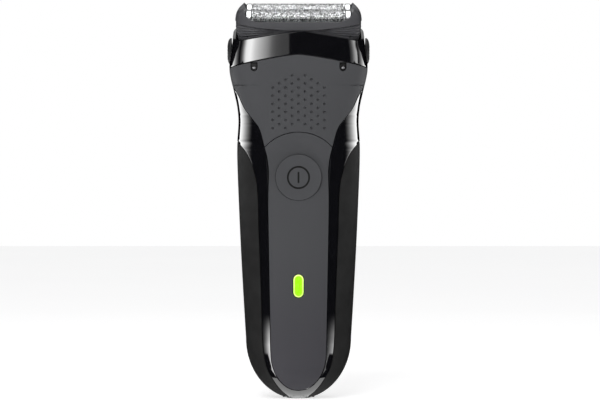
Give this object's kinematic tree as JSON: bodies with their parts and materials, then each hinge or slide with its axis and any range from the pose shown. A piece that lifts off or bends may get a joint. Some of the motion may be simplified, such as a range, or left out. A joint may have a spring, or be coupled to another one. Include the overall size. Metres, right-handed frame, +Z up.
{
  "type": "electric foil shaver",
  "caption": "Cordless foil shaver: tapered handle with soft grips, power button and lamp, and a tilted head with sprung arched foils over swinging cutters in a lift-off cassette.",
  "frame": {"origin": "middle of the bounding box at the base, under the power inlet", "axes": "+Z up the handle to the head, -Y the front with the power button, +X to the right when seen from the back"},
  "size_m": [0.0574, 0.038, 0.1603],
  "materials": {
    "gloss_black": "high gloss",
    "matte_grey": "matt, fine grain",
    "soft_grip": "matt, textured",
    "cassette_grey": "satin",
    "foil_steel": "etched",
    "polished_steel": "polished",
    "motor_steel": "drawn",
    "nickel": "plated",
    "brass": "turned",
    "white_plastic": "satin",
    "dark_plastic": "satin",
    "seal_rubber": "matt",
    "board_green": "lacquered",
    "lamp_green": "translucent, lit",
    "cell_sleeve": "shrink sleeve",
    "lead_red": "insulation",
    "lead_black": "insulation"
  },
  "bodies": {
    "handle": {"front_housing": "gloss_black", "rear_housing": "gloss_black", "housing_seal": "seal_rubber", "front_panel": "matte_grey", "thumb_panel": "matte_grey", "left_grip": "soft_grip", "right_grip": "soft_grip", "rear_cover": "dark_plastic", "head_frame": "gloss_black", "seat_plate": "dark_plastic", "head_bracket": "dark_plastic", "cap_catch_left": "cassette_grey", "cap_catch_right": "cassette_grey", "light_guide": "lamp_green", "inlet_housing": "dark_plastic", "inlet_pin_left": "nickel", "inlet_pin_right": "nickel", "chassis": "dark_plastic", "battery_cell_left": "cell_sleeve", "battery_cell_right": "cell_sleeve", "battery_strap": "nickel", "circuit_board": "board_green", "tact_switch": "dark_plastic", "status_led": "white_plastic", "motor_can": "motor_steel", "motor_end_cap": "white_plastic", "motor_lead_left": "lead_red", "motor_lead_right": "lead_black", "guide_rod_front": "polished_steel", "guide_rod_rear": "polished_steel", "housing_screw_left": "polished_steel", "housing_screw_right": "polished_steel", "head_screw_left": "polished_steel", "head_screw_right": "polished_steel", "release_spring_left": "polished_steel", "release_spring_right": "polished_steel"},
    "power_key": {"power_button": "matte_grey", "switch_plunger": "white_plastic"},
    "left_release": {"release_button_left": "dark_plastic"},
    "right_release": {"release_button_right": "dark_plastic"},
    "rotor": {"motor_shaft": "polished_steel", "eccentric": "brass"},
    "bridge": {"drive_bridge": "white_plastic", "drive_pin_front": "polished_steel", "drive_pin_rear": "polished_steel", "drive_boot_front": "seal_rubber", "drive_boot_rear": "seal_rubber"},
    "cassette": {"cassette_frame": "cassette_grey", "foil_spring_front_left": "polished_steel", "foil_spring_front_right": "polished_steel", "foil_spring_rear_left": "polished_steel", "foil_spring_rear_right": "polished_steel"},
    "front_foil_unit": {"front_foil": "foil_steel", "front_foil_holder": "polished_steel"},
    "rear_foil_unit": {"rear_foil": "foil_steel", "rear_foil_holder": "polished_steel"},
    "trimmer": {"middle_trimmer": "motor_steel"},
    "trimmer_slider": {"trimmer_blade": "foil_steel"},
    "front_cutter_unit": {"front_cutter": "foil_steel"},
    "rear_cutter_unit": {"rear_cutter": "foil_steel"}
  },
  "joints": [
    {"name": "power_press", "type": "slide", "parent": "handle", "child": "power_key", "axis": [0, 1, 0], "range_m": [0, 0.0006], "stiffness_N_per_m": 1200, "springref_m": -0.0008},
    {"name": "left_release_press", "type": "slide", "parent": "handle", "child": "left_release", "axis": [1, 0, 0], "range_m": [0, 0.0009], "stiffness_N_per_m": 900, "springref_m": -0.001, "deforming": ["release_spring_left"]},
    {"name": "right_release_press", "type": "slide", "parent": "handle", "child": "right_release", "axis": [-1, 0, 0], "range_m": [0, 0.0009], "stiffness_N_per_m": 900, "springref_m": -0.001, "deforming": ["release_spring_right"]},
    {"name": "rotor_spin", "type": "hinge", "parent": "handle", "child": "rotor", "pos_m": [0, 0.0026, 0.10656], "axis": [0, 0, 1], "continuous": true},
    {"name": "bridge_swing", "type": "slide", "parent": "handle", "child": "bridge", "axis": [1, 0, 0], "range_m": [-0.0012, 0.0012]},
    {"name": "cassette_lift", "type": "slide", "parent": "handle", "child": "cassette", "axis": [0, -0.309, 0.9511], "range_m": [0, 0.02]},
    {"name": "front_foil_float", "type": "slide", "parent": "cassette", "child": "front_foil_unit", "axis": [0, 0.309, -0.9511], "range_m": [0, 0.0015], "stiffness_N_per_m": 600, "springref_m": -0.0008, "deforming": ["foil_spring_front_left", "foil_spring_front_right"]},
    {"name": "rear_foil_float", "type": "slide", "parent": "cassette", "child": "rear_foil_unit", "axis": [0, 0.309, -0.9511], "range_m": [0, 0.0015], "stiffness_N_per_m": 600, "springref_m": -0.0008, "deforming": ["foil_spring_rear_left", "foil_spring_rear_right"]},
    {"name": "trimmer_float", "type": "slide", "parent": "cassette", "child": "trimmer", "axis": [0, 0.309, -0.9511], "range_m": [0, 0.001], "stiffness_N_per_m": 600, "springref_m": -0.0008},
    {"name": "front_cutter_swing", "type": "slide", "parent": "front_foil_unit", "child": "front_cutter_unit", "axis": [1, 0, 0], "range_m": [-0.0012, 0.0012]},
    {"name": "rear_cutter_swing", "type": "slide", "parent": "rear_foil_unit", "child": "rear_cutter_unit", "axis": [1, 0, 0], "range_m": [-0.0012, 0.0012]},
    {"name": "trimmer_swing", "type": "slide", "parent": "trimmer", "child": "trimmer_slider", "axis": [1, 0, 0], "range_m": [-0.0012, 0.0012]}
  ],
  "couplings": [
    {"joint": "front_cutter_swing", "follows": "bridge_swing", "ratio": 1},
    {"joint": "rear_cutter_swing", "follows": "bridge_swing", "ratio": 1},
    {"joint": "trimmer_swing", "follows": "bridge_swing", "ratio": 1}
  ]
}
